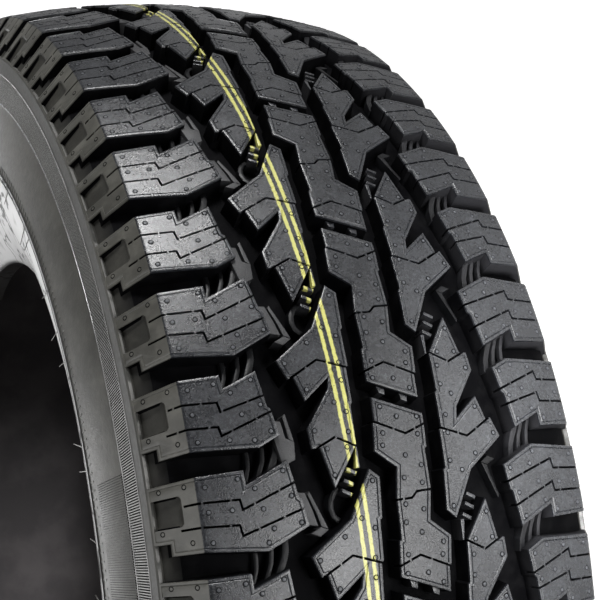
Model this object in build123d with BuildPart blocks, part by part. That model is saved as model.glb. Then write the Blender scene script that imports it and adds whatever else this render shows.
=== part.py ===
from build123d import *
import math
import os

# Overall sizes in millimetres; the axle runs along Z, with the origin in the middle of the tyre
outer_diameter = 803.0
section_width = 265.0
tread_width = 215.0
tread_depth = 11.5
pitch_count = 26
flats_per_pitch = 2

# Crown and shoulders
crown_drop = 11.5
centre_row_width = 34.6
middle_row_width = 114.8
shoulder_drop = 24.0
shoulder_inset = 8.0
shoulder_ring_width = 26.0
recess_depth = 2.5
recess_start = 0.4
lug_length = 0.88

# Sidewalls and beads; the two heights are shares of the way from bead seat to shoulder
widest_height = 0.53
lower_wall_height = 0.27
lower_wall_bulge = 0.61
bead_seat_diameter = 436.6
rim_width = 203.2
bead_seat_width = 12.0
heel_chamfer = 4.5

# Rubber thicknesses
under_tread = 13.0
sidewall_thickness = 9.5
bead_toe = 5.7

crown_radius = outer_diameter / 2
half_tread = tread_width / 2
half_section = section_width / 2
half_rim = rim_width / 2
seat_radius = bead_seat_diameter / 2
pitch = 2 * math.pi * crown_radius / pitch_count
pitch_angle = 360 / pitch_count
flat_count = pitch_count * flats_per_pitch
flat_angle = 360 / flat_count
crown_arc = (half_tread**2 + crown_drop**2) / (2 * crown_drop)


def crown(across):
    """Radius of the crown's arc at a distance across from the middle of the tread."""
    return crown_radius - crown_arc + math.sqrt(crown_arc**2 - across**2)


def part_way(start, end, share):
    """The profile point at this share of the way from start to end."""
    return tuple(s + share * (e - s) for s, e in zip(start, end))


def both_sides(half_profile):
    """Profile points on one side of the middle, with the same on the other side before them."""
    far_side = [(radius, -across) for radius, across in reversed(half_profile)]
    return far_side + half_profile


def ring_of_flats(half_profile):
    """A ring with this (radius, across) profile on both sides, and one flat for each shoulder lug."""
    half_angle = math.radians(flat_angle / 2)
    reach = crown_radius * math.tan(half_angle) + tread_depth
    with BuildPart() as sector:
        with BuildSketch(Plane.XZ):
            with BuildLine():
                Polyline(*both_sides(half_profile), close=True)
            make_face()
        extrude(amount=reach, both=True)
        for side in (-1, 1):
            outward = (-math.sin(half_angle), side * math.cos(half_angle), 0)
            split(bisect_by=Plane(origin=(0, 0, 0), z_dir=outward), keep=Keep.BOTTOM)
    with BuildPart() as ring:
        with PolarLocations(0, flat_count):
            add(sector.part)
    return ring.part


# Section points as (radius, distance across from the middle)
centre_row = (crown_radius, centre_row_width / 2)
middle_row = (crown(middle_row_width / 2), middle_row_width / 2)
tread_edge = (crown(half_tread), half_tread)
shoulder = (tread_edge[0] - shoulder_drop, half_section - shoulder_inset)
ring_foot = (shoulder[0] - shoulder_ring_width, shoulder[1])
ring_root = (ring_foot[0] + recess_depth, shoulder[1])
bead_face = (seat_radius + heel_chamfer, half_rim)
widest = (seat_radius + widest_height * (shoulder[0] - seat_radius), half_section)
lower_wall = (
    seat_radius + lower_wall_height * (shoulder[0] - seat_radius),
    half_rim + lower_wall_bulge * (half_section - half_rim),
)

# The groove floor lies one tread depth down; past the tread edge it is a shallow recess
# under the sloped faces of the lugs
groove_floor = (middle_row[0] - tread_depth, middle_row[1])
groove_end = (
    tread_edge[0] - tread_depth - recess_depth,
    half_tread + recess_start * (shoulder[1] - half_tread),
)
lug_foot = part_way(groove_end, shoulder, lug_length)

tread_base = ring_of_flats([groove_floor, groove_end, shoulder, ring_root])
tread_band = ring_of_flats([centre_row, middle_row, tread_edge, lug_foot, (ring_root[0], lug_foot[1])])

# The sidewalls and bead seats are turned about the axle
with BuildPart() as sidewalls:
    with BuildSketch(Plane.XZ):
        with BuildLine():
            heel = (seat_radius, half_rim - heel_chamfer)
            shoulder_root = (shoulder[0] - recess_depth, shoulder[1])
            Polyline(
                *both_sides([heel, bead_face, lower_wall, widest, ring_foot, shoulder_root]),
                close=True,
            )
        make_face()
    revolve(axis=Axis.Z)

# The space inside, from bead toe to bead toe
liner_crown = (groove_floor[0] - under_tread, middle_row[1])
liner_shoulder = (shoulder[0] - sidewall_thickness, half_tread - sidewall_thickness)
liner_widest = (widest[0] + sidewall_thickness, half_section - sidewall_thickness)
liner_toe = (seat_radius + bead_toe, half_rim - heel_chamfer - bead_seat_width)
inside_bore = (seat_radius - bead_toe, liner_toe[1])
cavity = ring_of_flats([liner_crown, liner_shoulder, liner_widest, liner_toe, inside_bore])


def tread_block(outline):
    """A tread block, from corners in shares of the half tread width and of the pitch."""
    middle = sum(along for across, along in outline) / len(outline)
    turned = Plane.XY.rotated((0, 0, middle * pitch_angle))
    looking_in = Plane(origin=(0, 0, 0), x_dir=turned.y_dir, z_dir=turned.x_dir)
    corners = [((along - middle) * pitch, across * half_tread) for across, along in outline]
    root = groove_end[0] - tread_depth
    with BuildPart() as block:
        with BuildSketch(looking_in.offset(root)):
            with BuildLine():
                Polyline(*corners, close=True)
            make_face()
        extrude(amount=crown_radius + tread_depth - root)
        add(tread_band, mode=Mode.INTERSECT)
    return block.part


def half_turn(outline):
    """The same outline turned half a turn about the middle of the tread."""
    return [(-across, -along) for across, along in outline]


# Corners of the blocks on one side, as (across, along) shares; the other side is the same
# pattern turned half round
past_shoulder = 1.2
centre_half = [(-0.123, -0.515), (0.126, -0.40), (0.064, 0.143), (0.159, 0.236)]
centre_block = centre_half + half_turn(centre_half)
middle_block = [
    (0.206, 0.155),
    (0.163, 0.107),
    (0.247, -0.718),
    (0.384, -0.921),
    (0.462, -0.590),
    (0.321, -0.383),
    (0.449, -0.459),
    (0.532, -0.233),
    (0.333, -0.080),
]
long_lug = [
    (0.536, -0.080),
    (0.726, -0.173),
    (past_shoulder, -0.132),
    (past_shoulder, 0.226),
    (0.785, 0.172),
    (0.581, 0.226),
]
short_lug = [
    (0.595, 0.385),
    (0.697, 0.336),
    (past_shoulder, 0.366),
    (past_shoulder, 0.726),
    (0.812, 0.672),
    (0.647, 0.724),
]
one_side = [middle_block, long_lug, short_lug]
outlines = [centre_block] + one_side + [half_turn(outline) for outline in one_side]
blocks = [tread_block(outline) for outline in outlines]

with BuildPart() as tyre:
    add(tread_base)
    with PolarLocations(0, pitch_count):
        add(blocks)
    add(sidewalls.part)
    add(cavity, mode=Mode.SUBTRACT)

tyre.part.label = "tyre"
os.makedirs("parts", exist_ok=True)
export_step(tyre.part, "parts/tyre.step")
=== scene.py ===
"""Dressed model of an all-terrain car tyre that lies on its side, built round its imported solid."""

import logging
import math
from dataclasses import dataclass
from enum import Enum, IntEnum
from typing import Any, Sequence

import bmesh
import bpy
from mathutils import Matrix, Vector
from mathutils.geometry import intersect_point_line


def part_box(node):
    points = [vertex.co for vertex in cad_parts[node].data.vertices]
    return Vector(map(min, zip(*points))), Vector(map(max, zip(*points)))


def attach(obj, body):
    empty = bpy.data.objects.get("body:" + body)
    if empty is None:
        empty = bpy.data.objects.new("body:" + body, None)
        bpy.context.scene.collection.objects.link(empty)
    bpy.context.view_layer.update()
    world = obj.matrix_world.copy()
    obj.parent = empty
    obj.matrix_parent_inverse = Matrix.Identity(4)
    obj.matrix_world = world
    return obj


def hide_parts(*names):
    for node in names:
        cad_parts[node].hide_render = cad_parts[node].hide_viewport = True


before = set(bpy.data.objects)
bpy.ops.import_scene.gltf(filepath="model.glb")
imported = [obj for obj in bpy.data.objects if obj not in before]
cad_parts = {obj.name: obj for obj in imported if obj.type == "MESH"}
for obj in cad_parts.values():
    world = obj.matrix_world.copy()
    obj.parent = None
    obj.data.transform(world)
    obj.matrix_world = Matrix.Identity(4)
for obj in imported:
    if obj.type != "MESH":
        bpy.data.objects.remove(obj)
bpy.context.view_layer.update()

BODY = "root"
NODE = "tyre"
MM = 0.001
OUTER_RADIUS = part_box(NODE)[1].x / MM
HALF_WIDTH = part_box(NODE)[1].z / MM
PITCH_COUNT = 26
SPIN_AXIS = Vector((0, 0, 1))
CENTRE = Vector((0, 0, 0))

Point = tuple[float, float]
Outline = tuple[Point, ...]
BMesh = bmesh.types.BMesh
Material = bpy.types.Material
Place = tuple[float, float, float]
Colour = tuple[float, float, float]

log = logging.getLogger("tyre")


class Side(Enum):
    """The two sides of the tyre: the upper one looks up as it lies."""

    UPPER = 1
    LOWER = -1


class Zone(IntEnum):
    """Material index of each zone of a tread block."""

    TOP = 0
    SLOPE = 1
    GROOVE = 2
    # EDGE holds the painted highlight on the middles of the vent marks
    EDGE = 3
    POCKET = 4


class Skin(IntEnum):
    """Material index of each zone of the carcass."""

    WALL = 0
    FLOOR = 1
    LINER = 2
    STEP = 3
    BEAD = 4
    RECESS = 5


class Value:
    """A shader socket that takes part in Python arithmetic."""

    def __init__(self, sheet: "ShaderSheet", socket: bpy.types.NodeSocket | None) -> None:
        """Keeps the sheet that makes new nodes and the socket that gives this value."""
        self.sheet = sheet
        self.socket = socket

    def __add__(self, other: Any) -> "Value":
        """Sum of two values."""
        return self.sheet.math("ADD", self, other)

    def __radd__(self, other: Any) -> "Value":
        """Sum with a plain number on the left."""
        return self.sheet.math("ADD", other, self)

    def __sub__(self, other: Any) -> "Value":
        """Difference of two values."""
        return self.sheet.math("SUBTRACT", self, other)

    def __rsub__(self, other: Any) -> "Value":
        """Difference with a plain number on the left."""
        return self.sheet.math("SUBTRACT", other, self)

    def __mul__(self, other: Any) -> "Value":
        """Product of two values."""
        return self.sheet.math("MULTIPLY", self, other)

    def __rmul__(self, other: Any) -> "Value":
        """Product with a plain number on the left."""
        return self.sheet.math("MULTIPLY", other, self)

    def __abs__(self) -> "Value":
        """Absolute value."""
        return self.sheet.math("ABSOLUTE", self)

    def ramp(self, low: float, high: float) -> "Value":
        """Smooth step of this value.

        Args:
            low: where the step is 0.
            high: where the step is 1; it may lie below low.

        Returns:
            A value from 0 to 1.
        """
        settings = {"interpolation_type": "SMOOTHSTEP"}
        return self.sheet.node("ShaderNodeMapRange", settings, {0: self, 1: low, 2: high})


class ShaderSheet:
    """The node tree of a material or of the surroundings, written as expressions."""

    def __init__(self, owner: Material | bpy.types.World) -> None:
        """Starts an empty node tree on its owner.

        Args:
            owner: the material or the surroundings that the tree belongs to.
        """
        self.owner = owner
        owner.use_nodes = True
        self.tree = owner.node_tree
        self.tree.nodes.clear()

    def node(self, kind: str, settings: dict[str, Any], sockets: dict[Any, Any], output: Any = 0) -> Value:
        """Adds one node.

        Args:
            kind: the node's type.
            settings: attributes that are set first.
            sockets: numbers, colours or values, by the name or index of their input.
            output: name or index of the output that is returned.

        Returns:
            That output as a value.
        """
        made = self.tree.nodes.new(kind)
        for name, setting in settings.items():
            setattr(made, name, setting)
        for key, given in sockets.items():
            if isinstance(given, Value):
                self.tree.links.new(given.socket, made.inputs[key])
            else:
                made.inputs[key].default_value = given
        return Value(self, made.outputs[output] if made.outputs else None)

    def math(self, operation: str, first: Any, second: Any = 0.0) -> Value:
        """One Math node on two numbers or values."""
        return self.node("ShaderNodeMath", {"operation": operation}, {0: first, 1: second})

    def mix(self, share: Any, first: Any, second: Any) -> Value:
        """Colour between two colours.

        Args:
            share: 0 for the first colour, 1 for the second.
            first: a colour with four numbers, or a value.
            second: the same.

        Returns:
            The mixed colour.
        """
        return self.node("ShaderNodeMix", {"data_type": "RGBA"}, {0: share, 6: first, 7: second}, output=2)

    def place(self) -> Value:
        """The surface's place in the tyre's own frame, in metres."""
        return self.node("ShaderNodeTexCoord", {}, {}, output="Object")

    def axis(self, place: Value, name: str) -> Value:
        """One coordinate of a place, by its name X, Y or Z."""
        return self.node("ShaderNodeSeparateXYZ", {}, {0: place}, output=name)

    def attribute(self, name: str) -> Value:
        """A number that the mesh holds for each vertex."""
        return self.node("ShaderNodeAttribute", {"attribute_name": name}, {}, output="Fac")

    def noise(self, place: Value, size_mm: float, detail: float = 2.0) -> Value:
        """Noise from 0 to 1.

        Args:
            place: where it is read.
            size_mm: the size of one blot.
            detail: how many finer layers it has.

        Returns:
            The noise.
        """
        sockets = {"Vector": place, "Scale": 1 / (size_mm * MM), "Detail": detail}
        return self.node("ShaderNodeTexNoise", {}, sockets, output=0)

    def stretch(self, place: Value, scale: Sequence[float]) -> Value:
        """A place scaled along each axis, for streaks."""
        return self.node("ShaderNodeVectorMath", {"operation": "MULTIPLY"}, {0: place, 1: tuple(scale)})

    def bump(self, height: Value, strength: float, depth_mm: float) -> Value:
        """Surface relief.

        Args:
            height: the relief, from 0 to 1.
            strength: how strongly it shows.
            depth_mm: its depth.

        Returns:
            The bent normal.
        """
        sockets = {"Strength": strength, "Distance": depth_mm * MM, "Height": height}
        return self.node("ShaderNodeBump", {}, sockets)

    def finish(self, sockets: dict[str, Any]) -> Material:
        """Ends the sheet in a principled surface.

        Args:
            sockets: the surface's inputs by name.

        Returns:
            The finished material.
        """
        surface = self.node("ShaderNodeBsdfPrincipled", {}, sockets)
        self.node("ShaderNodeOutputMaterial", {}, {"Surface": surface})
        return self.owner


def new_sheet(name: str) -> ShaderSheet:
    """An empty sheet for a new material of that name."""
    return ShaderSheet(bpy.data.materials.new(name))


def solid(colour: Colour) -> tuple[float, float, float, float]:
    """A colour with full alpha, as sockets take it."""
    return (*colour, 1.0)


@dataclass(frozen=True)
class TreadRubber:
    """Satin charcoal rubber of the tread blocks, speckled and a little dusty, with two painted lines."""

    name: str = "tread_rubber"
    top: Colour = (0.0050, 0.0055, 0.0069)
    worn: Colour = (0.028, 0.0305, 0.036)
    # low: plain dark colour of the parts below the top, without the tops' lighter specks, a painted shade
    low: Colour = (0.006, 0.006, 0.007)
    paint: Colour = (0.295, 0.287, 0.080)
    paint_lines: tuple[float, ...] = (31.5, 27.2)
    paint_half_width: float = 0.98
    paint_soft: float = 0.3
    paint_jog: float = 1.1
    paint_jog_place: Point = (0.19, 0.225)
    fleck_mm: float = 0.52
    grain_mm: float = 1.5
    blot_mm: float = 13.0
    chip_mm: float = 1.3
    ragged_mm: float = 2.2
    relief_mm: float = 0.2
    roughness: float = 0.29
    low_roughness: float = 0.6
    gloss: float = 0.46
    polish: float = 0.4
    polish_roughness: float = 0.3

    def make(self) -> Material:
        """Writes the material.

        Returns:
            The material, which reads the lift of each vertex above the groove floor: parts below the top
            take the plain dark low colour as painted shade.
        """
        sheet = new_sheet(self.name)
        place = sheet.place()
        lift = sheet.attribute("lift")
        fine = sheet.noise(place, self.fleck_mm, 2.0)
        grain = sheet.noise(place, self.grain_mm, 4.0)
        blots = sheet.noise(place, self.blot_mm, 4.0)
        on_top = lift.ramp(0.8, 0.97)
        flecks = fine.ramp(0.5, 0.74) * 0.75 + grain.ramp(0.46, 0.72) * 0.5
        speck = flecks * (blots.ramp(0.2, 0.75) * 1.1 + 0.15)
        rubber = sheet.mix(speck, solid(self.top), solid(self.worn))
        # painted shade: parts below the top fade into the low colour
        skin = sheet.mix(on_top, solid(self.low), rubber)
        line = self.painted(sheet, place)
        cover = (lift + grain * 0.34).ramp(0.88, 0.98)
        unchipped = sheet.noise(place, self.chip_mm, 2.0).ramp(0.76, 0.7)
        colour = sheet.mix(line * cover * unchipped, skin, solid(self.paint))
        rough = self.low_roughness - on_top * (self.low_roughness - self.roughness)
        return sheet.finish({
            "Base Color": colour,
            "Roughness": rough + (blots - 0.5) * 0.2 + (grain - 0.5) * 0.16,
            "Specular IOR Level": self.gloss,
            "Coat Weight": on_top * speck * self.polish,
            "Coat Roughness": self.polish_roughness,
            "Normal": sheet.bump(fine * 0.95 + grain * 0.05, 0.9, self.relief_mm),
        })

    def painted(self, sheet: ShaderSheet, place: Value) -> Value:
        """Mask of the two lines, with ragged edges and a slight jog where the brush set in.

        Args:
            sheet: the material's sheet.
            place: the surface's place.

        Returns:
            1 on the lines, 0 beside them.
        """
        ragged = (sheet.noise(place, self.ragged_mm, 4.0) - 0.5) * MM
        jog = sheet.axis(place, "Y").ramp(*self.paint_jog_place) * self.paint_jog * MM
        offset = sheet.axis(place, "Z") + jog + ragged
        first, second = (abs(offset - line * MM) for line in self.paint_lines)
        near = sheet.math("MINIMUM", first, second)
        edge, soft = self.paint_half_width * MM, self.paint_soft * MM
        return near.ramp(edge + soft, edge - soft)


@dataclass(frozen=True)
class ShadedGrooveRubber:
    """Dull rubber of the groove floors and the walls of the blocks, near-black as painted shade of the
    grooves.
    """

    name: str = "shaded_groove_rubber"
    # body and dust: far darker than the tread rubber, a painted shade of the grooves
    body: Colour = (0.0011, 0.0011, 0.0014)
    dust: Colour = (0.0030, 0.0030, 0.0033)
    # painted light: the paler colour of the lower walls, standing in for light bounced from the floor
    scuff_and_bounce_light: Colour = (0.019, 0.019, 0.021)
    bounce_light_heights: Point = (-0.056, -0.084)
    cloud_mm: float = 9.0
    grain_mm: float = 1.2
    roughness: float = 0.7
    gloss: float = 0.025

    def make(self) -> Material:
        """Writes the material.

        Returns:
            The material, with a painted, patchy glow of light bounced from the floor on the walls of the
            blocks of the shoulder that lies on the floor.
        """
        sheet = new_sheet(self.name)
        place = sheet.place()
        cloud = sheet.noise(place, self.cloud_mm, 4.0)
        fine = sheet.noise(place, self.grain_mm, 3.0)
        on_walls = sheet.attribute("lift").ramp(0.1, 0.6)
        # painted bounce light, strongest low down on the walls and patchy with the cloud
        bounce_lit = sheet.axis(place, "Z").ramp(*self.bounce_light_heights) * on_walls
        rubber = sheet.mix(cloud.ramp(0.4, 0.75), solid(self.body), solid(self.dust))
        return sheet.finish({
            "Base Color": sheet.mix(bounce_lit * (0.5 + cloud), rubber, solid(self.scuff_and_bounce_light)),
            "Roughness": self.roughness + (cloud - 0.5) * 0.3,
            "Specular IOR Level": self.gloss,
            "Normal": sheet.bump(fine, 0.5, 0.25),
        })


@dataclass(frozen=True)
class SidewallRubber:
    """Warm dark rubber of the shoulders and sidewalls, with faint streaks and a satin sheen."""

    name: str = "sidewall_rubber"
    body: Colour = (0.032, 0.0311, 0.0265)
    bloom: Colour = (0.081, 0.0785, 0.0683)
    shade: Colour = (0.003, 0.003, 0.003)
    fleck_mm: float = 0.9
    grain_mm: float = 2.6
    cloud_mm: float = 26.0
    streak_mm: float = 6.0
    streak_scale: Place = (1.0, 1.0, 0.2)
    roughness: float = 0.36
    gloss: float = 0.5

    def make(self) -> Material:
        """Writes the material.

        Returns:
            The material, which darkens where the mesh marks a shade.
        """
        sheet = new_sheet(self.name)
        place = sheet.place()
        shade = sheet.attribute("shade")
        fine = sheet.noise(place, self.fleck_mm, 3.0)
        grain = sheet.noise(place, self.grain_mm, 3.0)
        cloud = sheet.noise(place, self.cloud_mm, 4.0)
        streak = sheet.noise(sheet.stretch(place, self.streak_scale), self.streak_mm, 3.0)
        share = (cloud.ramp(0.35, 0.75) * 0.5 + streak.ramp(0.4, 0.8) * 0.5) * (0.35 + grain * 1.1)
        skin = sheet.mix(share, solid(self.body), solid(self.bloom))
        return sheet.finish({
            "Base Color": sheet.mix(shade, skin, solid(self.shade)),
            "Roughness": self.roughness + shade * 0.4 + (cloud - 0.5) * 0.2 + (grain - 0.5) * 0.2,
            "Specular IOR Level": self.gloss,
            "Normal": sheet.bump(fine * 0.5 + grain * 0.5, 0.5, 0.3),
        })


@dataclass(frozen=True)
class LinerRubber:
    """Dull black rubber of the inside, with a faint brown cast."""

    name: str = "liner_rubber"
    body: Colour = (0.080, 0.072, 0.075)
    # on the liner this colour only marks random worn patches
    scuff_and_bounce_light: Colour = (0.128, 0.115, 0.118)
    cloud_mm: float = 40.0
    grain_mm: float = 2.0
    roughness: float = 0.7

    def make(self) -> Material:
        """Writes the material.

        Returns:
            The material.
        """
        sheet = new_sheet(self.name)
        place = sheet.place()
        cloud = sheet.noise(place, self.cloud_mm, 4.0)
        fine = sheet.noise(place, self.grain_mm, 2.0)
        return sheet.finish({
            "Base Color": sheet.mix(cloud.ramp(0.4, 0.7), solid(self.body), solid(self.scuff_and_bounce_light)),
            "Roughness": self.roughness + (fine - 0.5) * 0.2,
            "Normal": sheet.bump(fine, 0.25, 0.2),
        })


@dataclass(frozen=True)
class BeadRubber:
    """Glossy black rubber of the lower sidewall and the bead, dulled in soft patches and a few veins."""

    name: str = "bead_rubber"
    body: Colour = (0.012, 0.0115, 0.011)
    vein_mm: float = 48.0
    cloud_mm: float = 17.0
    grain_mm: float = 1.4
    roughness: float = 0.36
    dull_roughness: float = 0.75
    gloss: float = 0.3
    polish: float = 0.45
    polish_roughness: float = 0.32

    def make(self) -> Material:
        """Writes the material.

        Returns:
            The material.
        """
        sheet = new_sheet(self.name)
        place = sheet.place()
        vein = abs(sheet.noise(place, self.vein_mm, 4.0) - 0.5).ramp(0.02, 0.006) * 0.7
        cloud = sheet.noise(place, self.cloud_mm, 4.0).ramp(0.55, 0.85) * 0.6
        dull = sheet.math("MAXIMUM", vein, cloud)
        fine = sheet.noise(place, self.grain_mm, 3.0)
        return sheet.finish({
            "Base Color": solid(self.body),
            "Roughness": self.roughness + dull * (self.dull_roughness - self.roughness),
            "Specular IOR Level": self.gloss,
            "Coat Weight": (1 - dull) * self.polish,
            "Coat Roughness": self.polish_roughness,
            "Normal": sheet.bump(fine * 0.3 - vein, 0.3, 0.2),
        })


@dataclass(frozen=True)
class StepGlintRubber:
    """Pale, glossy rubber that paints the glint on the step at the shoulder ring and on the lines beside the
    serrated band.
    """

    name: str = "step_glint_rubber"
    # body: the painted glint; dull: the patches where the glint fades
    body: Colour = (0.115, 0.113, 0.109)
    dull: Colour = (0.03, 0.03, 0.028)
    patch_mm: float = 12.0
    grain_mm: float = 1.6
    roughness: float = 0.26

    def make(self) -> Material:
        """Writes the material.

        Returns:
            The material.
        """
        sheet = new_sheet(self.name)
        place = sheet.place()
        patch = sheet.noise(place, self.patch_mm, 3.0)
        return sheet.finish({
            "Base Color": sheet.mix(patch.ramp(0.62, 0.48), solid(self.dull), solid(self.body)),
            "Roughness": self.roughness + (patch - 0.5) * 0.3,
            "Normal": sheet.bump(sheet.noise(place, self.grain_mm, 3.0), 0.5, 0.3),
        })


@dataclass(frozen=True)
class TreadProfile:
    """Cross section of the tread, which rolls flat work round the axle.

    Flat work has the way round the tyre along X, the way across it along Y and the height above the
    tread's surface along Z, all in millimetres.
    """

    crown_radius: float = OUTER_RADIUS - 0.25
    crown_drop: float = 11.5
    half_tread: float = 107.5
    slope_drop: float = 24.0
    slope_run: float = 16.6
    edge_round: float = 1.3
    depth: float = 11.5
    rolling_radius: float = 400.0

    @property
    def slope_length(self) -> float:
        """Length of a lug's sloped face, from the tread's edge to its foot."""
        return math.hypot(self.slope_drop, self.slope_run)

    @property
    def foot(self) -> float:
        """Place of a lug's foot, measured across the tread and down its slope."""
        return self.half_tread + self.slope_length

    def crown(self, across: float) -> float:
        """Radius of the crown at a place across the tread."""
        arc = (self.half_tread**2 + self.crown_drop**2) / (2 * self.crown_drop)
        return self.crown_radius - arc + math.sqrt(arc**2 - across**2)

    def bare_surface(self, across: float) -> Vector:
        """Radius and width at a place across the tread, with a sharp edge.

        Args:
            across: the distance from the middle, measured down the slope past the tread's edge.

        Returns:
            Radius and axial place.
        """
        past = across - self.half_tread
        if past <= 0:
            return Vector((self.crown(across), across))
        share = past / self.slope_length
        edge = self.crown(self.half_tread)
        return Vector((edge - share * self.slope_drop, self.half_tread + share * self.slope_run))

    def surface(self, across: float) -> Vector:
        """Radius and width at a place across the tread, with its rounded edge.

        Args:
            across: the distance from the middle, measured down the slope past the tread's edge.

        Returns:
            Radius and axial place.
        """
        away = abs(across)
        step = (away - self.half_tread + self.edge_round) / (2 * self.edge_round)
        if 0 < step < 1:
            inner = self.bare_surface(self.half_tread - self.edge_round)
            corner = self.bare_surface(self.half_tread)
            outer = self.bare_surface(self.half_tread + self.edge_round)
            point = inner * (1 - step) ** 2 + corner * 2 * step * (1 - step) + outer * step**2
        else:
            point = self.bare_surface(away)
        return Vector((point.x, math.copysign(point.y, across)))

    def roll(self, work: BMesh) -> None:
        """Rolls flat work round the axle, and turns millimetres into metres.

        Args:
            work: the flat work.
        """
        for vert in work.verts:
            along, across, height = vert.co
            radius, width = self.surface(across)
            turn = along / self.rolling_radius
            reach = radius + height
            vert.co = Vector((reach * math.cos(turn), reach * math.sin(turn), width)) * MM


def new_outline(work: BMesh, outline: Sequence[Point], height: float) -> bmesh.types.BMFace:
    """Lays a flat face in flat work.

    Args:
        work: the flat work.
        outline: its corners as (across, along).
        height: its height above the tread's surface.

    Returns:
        The face, which looks up.
    """
    corners = [work.verts.new((along, across, height)) for across, along in outline]
    face = work.faces.new(corners)
    face.normal_update()
    if face.normal.z < 0:
        face.normal_flip()
    return face


def sink(work: BMesh, face: bmesh.types.BMFace, depth: float) -> list[bmesh.types.BMVert]:
    """Extrudes a flat face down into a closed prism.

    Args:
        work: the flat work.
        face: the face, which stays as the prism's top.
        depth: how far down the prism goes.

    Returns:
        The corners of the prism's underside.
    """
    made = bmesh.ops.extrude_face_region(work, geom=[face])["geom"]
    low = [item for item in made if isinstance(item, bmesh.types.BMVert)]
    bmesh.ops.translate(work, verts=low, vec=(0, 0, -depth))
    bmesh.ops.recalc_face_normals(work, faces=work.faces)
    return low


def half_turn(work: BMesh) -> None:
    """Turns flat work half round, which carries one side of the tread to the other."""
    bmesh.ops.rotate(work, verts=work.verts, cent=CENTRE, matrix=Matrix.Rotation(math.pi, 3, "Z"))


def repeat_round(work: BMesh, count: int) -> None:
    """Repeats a rolled mesh evenly round the axle.

    Args:
        work: the mesh at its first place.
        count: how often it stands round the axle.
    """
    everything = work.verts[:] + work.edges[:] + work.faces[:]
    turn = 2 * math.pi * (count - 1) / count
    bmesh.ops.spin(work, geom=everything, cent=CENTRE, axis=SPIN_AXIS, dvec=CENTRE,
                   angle=turn, steps=count - 1, use_duplicate=True)


def mark_lift(work: BMesh, depth: float) -> None:
    """Writes how far each vertex of flat work stands above the groove floor, from 0 to 1.

    Args:
        work: the flat work.
        depth: the depth of the grooves.
    """
    lift = work.verts.layers.float.new("lift")
    for vert in work.verts:
        vert[lift] = min(1.0, max(0.0, 1 + vert.co.z / depth))


def join(target: BMesh, extra: BMesh) -> None:
    """Adds a mesh to another and frees it.

    Args:
        target: the mesh that grows.
        extra: the mesh that is added.
    """
    carrier = bpy.data.meshes.new("carrier")
    extra.to_mesh(carrier)
    extra.free()
    target.from_mesh(carrier)
    bpy.data.meshes.remove(carrier)


def carve(work: BMesh, cutters: BMesh) -> BMesh:
    """Cuts closed shapes out of flat work, and frees both.

    Args:
        work: the closed shape that is cut.
        cutters: the shapes that cut it.

    Returns:
        The cut shape.
    """
    held = []
    for name, source in (("blank", work), ("blades", cutters)):
        mesh = bpy.data.meshes.new(name)
        source.to_mesh(mesh)
        source.free()
        thing = bpy.data.objects.new(name, mesh)
        bpy.context.scene.collection.objects.link(thing)
        held.append(thing)
    blank, blades = held
    cut = blank.modifiers.new("cut", "BOOLEAN")
    cut.operation = "DIFFERENCE"
    cut.solver = "EXACT"
    cut.object = blades
    graph = bpy.context.evaluated_depsgraph_get()
    result = bpy.data.meshes.new_from_object(blank.evaluated_get(graph))
    carved = bmesh.new()
    carved.from_mesh(result)
    for mesh in (result, blank.data, blades.data):
        bpy.data.meshes.remove(mesh)
    return carved


def slice_flat(work: BMesh, normal: Vector, places: Sequence[float]) -> None:
    """Cuts edges into flat work along parallel planes, so that it can bend there.

    Args:
        work: the flat work.
        normal: the direction across the planes.
        places: where the planes stand along it.
    """
    for place in places:
        everything = work.verts[:] + work.edges[:] + work.faces[:]
        bmesh.ops.bisect_plane(work, geom=everything, dist=1e-5, plane_co=normal * place, plane_no=normal)


def set_piece(name: str, work: BMesh, finishes: Sequence[Material],
              sharp_deg: float = 28.0) -> None:
    """Turns a finished mesh into a piece of the tyre.

    Args:
        name: the piece's name.
        work: its mesh in the tyre's frame, in metres, which is freed.
        finishes: its materials, by material index.
        sharp_deg: faces that meet at more than this keep a sharp edge.
    """
    mesh = bpy.data.meshes.new(name)
    work.to_mesh(mesh)
    work.free()
    for finish in finishes:
        mesh.materials.append(finish)
    mesh.shade_smooth()
    mesh.set_sharp_from_angle(angle=math.radians(sharp_deg))
    piece = bpy.data.objects.new(name, mesh)
    bpy.context.scene.collection.objects.link(piece)
    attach(piece, BODY)
    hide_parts(NODE)
    log.info("%s: %d faces, %d triangles", name, len(mesh.polygons), triangle_count(mesh))


def triangle_count(mesh: bpy.types.Mesh) -> int:
    """Number of triangles that a mesh has once it is cut up."""
    return sum(len(polygon.vertices) - 2 for polygon in mesh.polygons)


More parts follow.
